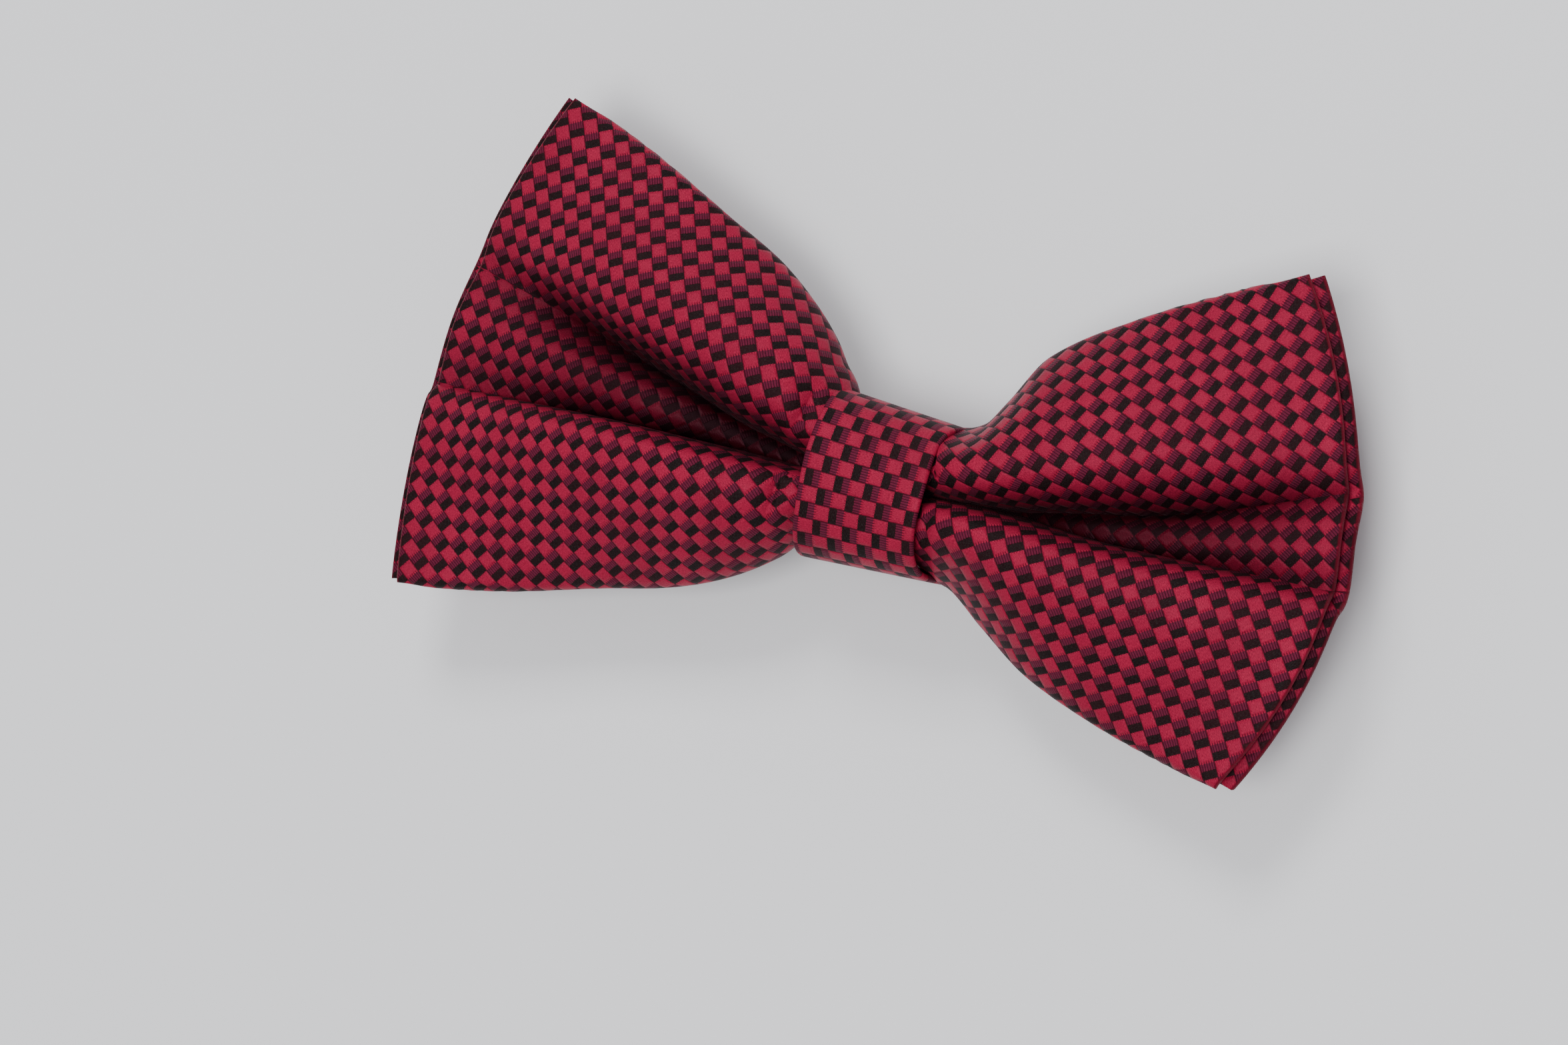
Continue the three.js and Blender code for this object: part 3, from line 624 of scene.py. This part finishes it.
def weave_map(surface, across, side):
    """Flat-cloth coordinates of a wing, in cells, with the rows on the bias.

    Each panel between two valleys is flattened on its own, and the cloth that the modelled
    folds have no room for goes into the bottoms of the valleys.
    """
    along = lengths_along(surface, 0)
    over = lengths_along(surface, 1)
    spare = 2 * HALF_CLOTH - over[-1, -1]
    ends = [0]
    for valley in VALLEYS:
        ends.append(int(np.argmin(abs(across - valley / (len(AT_KNOT) - 1)))) + 1)
    ends.append(len(across))
    cloth = np.empty(surface.shape[:2] + (2,))
    for panel in range(3):
        strip = slice(ends[panel], ends[panel + 1])
        start_v = over[-1:, strip] - HALF_CLOTH + spare * panel / 2 + 0 * along[:, strip]
        start = np.stack([MAP_LENGTH - (along[-1:, strip] - along[:, strip]), start_v], -1)
        rows, columns = np.arange(start.shape[0]), np.arange(start.shape[1])
        some_rows = np.unique(np.linspace(0, rows[-1], 28).round().astype(int))
        picked = 4 + len(columns) // 5
        some_columns = np.unique(np.linspace(0, columns[-1], picked).round().astype(int))
        pick = np.ix_(some_rows, some_columns)
        coarse = start[pick]
        change = settled(flattened(surface[:, strip][pick], coarse), coarse) - coarse
        for k in (0, 1):
            start[..., k] += spread(change[..., k], some_rows, some_columns, rows, columns)
        cloth[:, strip] = start
    cloth_x, v = cloth[..., 0], cloth[..., 1]
    if side == "left":
        cloth_x = -cloth_x
    return np.stack([cloth_x - v, cloth_x + v], -1) / math.sqrt(2) / CELL


LAYER_OFFSET, LAYER_HALF = 0.72 * MM, 0.55 * MM
LINING_HALF = 0.15 * MM
BACK_REACH = 1.3 * MM            # the back bow shows this far past the front one
FRONT = (0, 0, 1)
for side, sign in (("left", -1), ("right", 1)):
    for layer, way in (("front", 1), ("back", -1)):
        middle, across = wing_surface(side, 0 if way > 0 else BACK_REACH)
        offset = way * LAYER_OFFSET
        outer = middle + normals_of(middle, FRONT) * (offset + LAYER_HALF)
        uv = weave_map(outer, across, side)
        inner = slice(0, -11, 3), slice(24, -24, 2)
        # The cloth's colour darkens with painted shade by the depth of its folds.
        cloth = closed_sheet(f"{layer}_bow_{side}_cloth", middle, LAYER_HALF, CLOTH, uv, offset,
                             rounded=(0, 1), towards=FRONT, shade=painted_fold_shade(middle, way))
        lining = closed_sheet(f"{layer}_bow_{side}_lining", middle[inner], LINING_HALF, LINING,
                              uv[inner], offset, rounded=(0, 1), towards=FRONT)
        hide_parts(f"{layer}_bow_{side}_wing")
        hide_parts(f"{layer}_bow_{side}_interlining")
        for piece in (cloth, lining):
            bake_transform(piece)


# --------------------------------------------------------- the gathered middle
def centre_surface():
    """The middle surface between the wings, pinched where the thread ties it."""
    across = rimmed(70, 30 * MM)
    w = np.linspace(-1, 1, 41)[:, None] * WING_ROOT
    v, z = natural(np.array(AT_KNOT, float), across).T * MM
    top = max(v)
    pinch = 1 - 0.16 * np.exp(-((w / (3.2 * MM)) ** 2))
    v = v[None] * pinch * 6.9 * MM / top
    angle = WING_LIFT * w / WING_ROOT
    x = w * np.cos(angle) - v * np.sin(angle)
    y = abs(w) * np.sin(abs(angle)) + v * np.cos(angle) + KNOT_CENTRE.y
    return np.stack([x, y, z[None] * pinch + KNOT_CENTRE.z], -1)


middle = centre_surface()
for layer, way in (("front", 1), ("back", -1)):
    over = lengths_along(middle, 1) - 15 * MM
    along = lengths_along(middle, 0)
    uv = np.stack([along - over, along + over], -1) / math.sqrt(2) / CELL
    pleats = closed_sheet(f"{layer}_bow_centre_cloth", middle, LAYER_HALF, CLOTH, uv,
                          way * LAYER_OFFSET, rounded=(0, 0), towards=FRONT)
    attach(pleats, "root")
    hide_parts(f"{layer}_bow_centre_pleats")


# --------------------------------------------------------------------------- knot
def knot_outline(height, depth, lap):
    """The band's outline in Y and Z, once round from its seam, and the distance along it.

    The first stretch lies inside by lap, so that the strip's end covers it.
    """
    seam = math.radians(232)
    angle = np.linspace(seam, seam + 2 * math.pi, 2400)
    c, s = np.cos(angle), np.sin(angle)
    power = np.where(s < 0, 6.0, 2.2)                              # boxy behind, round in front
    y = np.sign(c) * abs(c) ** (2 / power) * height
    z = np.sign(s) * abs(s) ** (2 / power) * depth
    ring = np.stack([y, z], 1)
    arc = np.concatenate([[0], np.cumsum(np.linalg.norm(np.diff(ring, axis=0), axis=1))])
    tangent = np.gradient(ring, axis=0)
    outward = np.stack([tangent[:, 1], -tangent[:, 0]], 1)
    outward /= np.linalg.norm(outward, axis=1, keepdims=True)
    inset = lap * (1 - smooth((arc - 2.2 * MM) / (2.0 * MM)))
    return ring - outward * inset[:, None], arc


def knot_sheet(name, height, depth, half, half_width, lap, material, columns):
    """A strip of cloth wrapped once round the knot, with its end lapped over its start."""
    ring, arc = knot_outline(height, depth, lap)
    even = rimmed(260, arc[-1], 0.35 * MM) * arc[-1]
    y, z = np.interp(even, arc, ring[:, 0]), np.interp(even, arc, ring[:, 1])
    across = (rimmed(columns, 2 * half_width, 0.45 * MM) * 2 - 1) * half_width
    k = even / arc[-1]
    front = smooth((np.interp(even, arc, ring[:, 1]) / depth + 0.4) / 1.2)   # 1 at the front
    bulge = 1.10 - 0.11 * front + 0.010 * np.sin(2 * math.pi * 5 * k + 1.2)
    x = across[None] * bulge[:, None] + KNOT_SHIFT + 0.6 * MM * (1 - front[:, None])
    ones = np.ones_like(x)
    leftness = (0.5 - across / (2 * half_width))[None]
    flare = leftness * (0.4 + 1.1 * y[:, None] / height) * MM      # the band opens to the left
    y = y[:, None] + flare + KNOT_CENTRE.y
    middle = np.stack([x, y, z[:, None] * ones + KNOT_CENTRE.z], -1)
    uv = np.stack([-across[None] * ones / (1.04 * CELL) + 0.35,
                   even[:, None] * ones / (0.93 * CELL)], -1)
    return closed_sheet(name, middle, half, material, uv, rim=0.45 * MM)


KNOT_SHIFT = 1.15 * MM           # the band sits a little off the middle
knot = knot_sheet("knot_band_cloth", height=8.9 * MM, depth=6.75 * MM, half=0.42 * MM,
                  half_width=7.85 * MM, lap=0.9 * MM, material=CLOTH, columns=44)
knot_lining = knot_sheet("knot_band_lining", height=7.8 * MM, depth=5.75 * MM, half=0.22 * MM,
                         half_width=6.2 * MM, lap=0, material=LINING, columns=12)
for piece, node, slot in ((knot, "knot_band", "jacquard_cloth"),
                          (knot_lining, "knot_interlining", "interlining")):
    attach(piece, "root")
    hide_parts(node)


# ------------------------------------------------------------------------ threads
def binding_paths():
    """One thread, six times round the gathered middle and on along it."""
    k = np.linspace(0, 1, 260)
    angle = 2 * math.pi * 6 * k
    bend = 2 / 5.0                             # the power of a rounded box
    c, s = np.cos(angle), np.sin(angle)
    y = 6.75 * MM * np.sign(c) * abs(c) ** bend + KNOT_CENTRE.y
    z = 4.35 * MM * np.sign(s) * abs(s) ** bend + KNOT_CENTRE.z
    return [np.stack([(k - 0.5) * 3.6 * MM, y, z], 1)]


def seam_paths():
    """Slip stitches that draw the band's lapped end down, along its lower back corner."""
    paths = []
    for x in np.arange(-6.6, 6.7, 1.2) * MM:
        k = np.linspace(0, 1, 7)
        y = KNOT_CENTRE.y - (8.0 - 1.0 * k + 0.5 * (0.5 - x / (13.2 * MM))) * MM
        z = KNOT_CENTRE.z - (6.62 + 0.12 * k + 0.16 * np.sin(k * math.pi)) * MM
        paths.append(np.stack([x + KNOT_SHIFT + 0.35 * MM * k, y, z], 1))
    return paths


STRAP_HALF_WIDTH = 6.5 * MM
STRAP_Y = KNOT_CENTRE.y
TAPE_HALF, TAPE_RIM = 0.31 * MM, 0.3 * MM    # half its thickness, and its rounded edge


def tack_paths(x, z):
    """A bar tack: thread to and fro, packed tight, over two lengthwise threads."""
    turns = 46
    paths = []
    for shift in (-0.35, 0.35):
        y = np.linspace(-5, 5, 12) * MM + STRAP_Y
        paths.append(np.stack([np.full(12, x + shift * MM), y, np.full(12, z + 0.02 * MM)], 1))
    k = np.linspace(0, turns, turns * 6 + 1)
    zigzag = 2 * abs(k / 2 % 1 * 2 - 1) - 1
    y = (k / turns * 2 - 1) * 5.0 * MM + STRAP_Y
    paths.append(np.stack([x + zigzag * 0.68 * MM, y, z + 0.22 * MM * (1 - zigzag**2)], 1))
    return paths


for name, paths, radius, node, body in (
        ("binding_thread_turns", binding_paths(), 0.26 * MM, "binding_thread", "root"),
        ("knot_seam_stitches", seam_paths(), 0.13 * MM, "knot_seam_thread", "root"),
        ("eye_end_tack", tack_paths(26.5 * MM, 9.66 * MM), 0.12 * MM, "eye_end_bar_tack", "root"),
        ("return_run_tack", tack_paths(20.5 * MM, 1.86 * MM), 0.12 * MM, "return_run_bar_tack",
         "adjuster")):
    stitches = tubes(name, paths, radius, THREAD)
    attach(stitches, body)
    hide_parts(node)


# --------------------------------------------------------------------- neck strap
def lay(from_x, to_x, left_z, right_z, step_from, step_to):
    """A level run of the strap that changes height between two places; x and z in mm."""
    count = max(3, int(abs(to_x - from_x) / 0.8))
    x = np.linspace(from_x, to_x, count)
    z = left_z + (right_z - left_z) * smooth((x - step_from) / (step_to - step_from))
    return np.stack([x, z], 1)


def turn(x, from_z, to_z, way):
    """A half turn of the strap between two heights."""
    angle = np.linspace(0, math.pi, 15)[1:-1]
    radius = abs(from_z - to_z) / 2
    z = (from_z + to_z) / 2 + (from_z - to_z) / 2 * np.cos(angle)
    return np.stack([x + way * radius * np.sin(angle), z], 1)


def strap(name, parts, rounded=(0, 0)):
    path = np.concatenate(parts) * MM
    keep = np.concatenate([[True], np.linalg.norm(np.diff(path, axis=0), axis=1) > 0.05 * MM])
    path = path[keep]
    across = (rimmed(14, 2 * STRAP_HALF_WIDTH, TAPE_RIM) * 2 - 1) * STRAP_HALF_WIDTH
    arc = np.concatenate([[0], np.cumsum(np.linalg.norm(np.diff(path, axis=0), axis=1))])
    ones = np.ones((len(path), len(across)))
    y = (across[None] + STRAP_Y) * ones
    middle = np.stack([path[:, :1] * ones, y, path[:, 1:] * ones], -1)
    uv = np.stack([arc[:, None] * ones, across[None] * ones], -1) / CELL
    return closed_sheet(name, middle, TAPE_HALF, TAPE, uv, rim=TAPE_RIM, rounded=rounded)


LOOP_START, LEG_START = 2.0, 18.0          # mm along X, where the strap is cut into pieces
eye_end = strap("neck_strap_tape", [
    [(25.0, 9.25)], lay(25.8, 32, 9.25, 9.25, 0, 1), turn(32, 9.25, 7.35, 1),
    lay(32, 0, 9.4, 7.35, 9, 16), lay(-0.5, -45, 3.65, 9.4, -27, -9), turn(-45, 3.65, 2.55, -1),
    lay(-45, 43, 2.55, 6.25, -24, -8), turn(43, 6.25, 5.15, 1), lay(43, -45, 1.45, 5.15, -24, -8),
    turn(-45, 1.45, 0.35, -1), lay(-45, LOOP_START, 0.35, 3.25, -12, -2)], (1, 0))
loop = strap("strap_hook_loop", [
    lay(LOOP_START, 31, 3.25, 3.25, 0, 1), turn(31, 3.25, 0.35, 1), lay(31, 28, 0.35, 0.35, 0, 1)])
leg = strap("strap_return_leg", [lay(28, LEG_START, 0.35, 0.35, 0, 1)])
wrap = strap("strap_slide_wrap", [
    lay(LEG_START, 15, 0.35, 0.35, 0, 1), turn(15, 0.35, 2.25, -1),
    lay(15, 22, 2.25, 1.45, 15.8, 18.2)], (0, 1))
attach(eye_end, "root")
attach(wrap, "adjuster")
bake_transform(loop)
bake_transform(leg)
for piece, node in ((eye_end, "neck_strap"), (loop, "strap_hook_turn"), (leg, "strap_return_run"),
                    (wrap, "strap_return_run")):
    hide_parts(node)


# ----------------------------------------------------------------------- hardware
def softened(name, node, width):
    """A CAD node's shape with its edges rounded, as pressed metal has them."""
    shape = bmesh.new()
    shape.from_mesh(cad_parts[node].data)
    bmesh.ops.remove_doubles(shape, verts=shape.verts, dist=1e-6)
    flat = math.radians(1.5)
    bmesh.ops.dissolve_limit(shape, angle_limit=flat, verts=shape.verts, edges=shape.edges)
    sharp = [e for e in shape.edges if e.is_manifold and e.calc_face_angle(0) > math.radians(30)]
    bmesh.ops.bevel(shape, geom=sharp, offset=width, offset_type="OFFSET", segments=3, profile=0.5,
                    affect="EDGES", clamp_overlap=True)
    mesh = bpy.data.meshes.new(name)
    shape.to_mesh(mesh)
    shape.free()
    mesh.polygons.foreach_set("use_smooth", [True] * len(mesh.polygons))
    mesh.materials.append(NICKEL)
    piece = bpy.data.objects.new(name, mesh)
    bpy.context.scene.collection.objects.link(piece)
    return piece


for name, node, body in (("adjuster_slide_frame", "adjuster_slide", "adjuster"),
                         ("strap_hook_wire", "strap_hook", "hook"),
                         ("strap_eye_plate", "strap_eye", "eye")):
    piece = softened(name, node, 0.16 * MM)
    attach(piece, body)
    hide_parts(node)


# -------------------------------------------------------------------------- stage
def add_floor():
    mesh = bpy.data.meshes.new("floor")
    half = 3.0
    mesh.from_pydata([(-half, -half, 0), (half, -half, 0), (half, half, 0), (-half, half, 0)], [],
                     [(0, 1, 2, 3)])
    material, _, _, shader = principled("floor")
    shader.inputs["Base Color"].default_value = (0.94, 0.94, 0.96, 1)
    shader.inputs["Roughness"].default_value = 0.85
    mesh.materials.append(material)
    floor = bpy.data.objects.new("floor", mesh)
    floor.location = (0, 0, -0.0002)
    bpy.context.scene.collection.objects.link(floor)


def add_light(name, place, size, power):
    data = bpy.data.lights.new(name, "AREA")
    data.size, data.energy = size, power
    light = bpy.data.objects.new(name, data)
    light.location = place
    aim = KNOT_CENTRE - Vector(place)
    light.rotation_mode = "QUATERNION"
    light.rotation_quaternion = aim.to_track_quat("-Z", "Y")
    bpy.context.scene.collection.objects.link(light)


add_floor()
add_light("key", (-0.20, 0.80, 1.00), size=0.40, power=7.0)
add_light("front", (0.10, -0.25, 1.30), size=0.6, power=11.5)
world = bpy.data.worlds.new("world")
bpy.context.scene.world = world
world.use_nodes = True
background = world.node_tree.nodes["Background"]
background.inputs[0].default_value = (0.95, 0.96, 1.0, 1)
background.inputs[1].default_value = 0.42
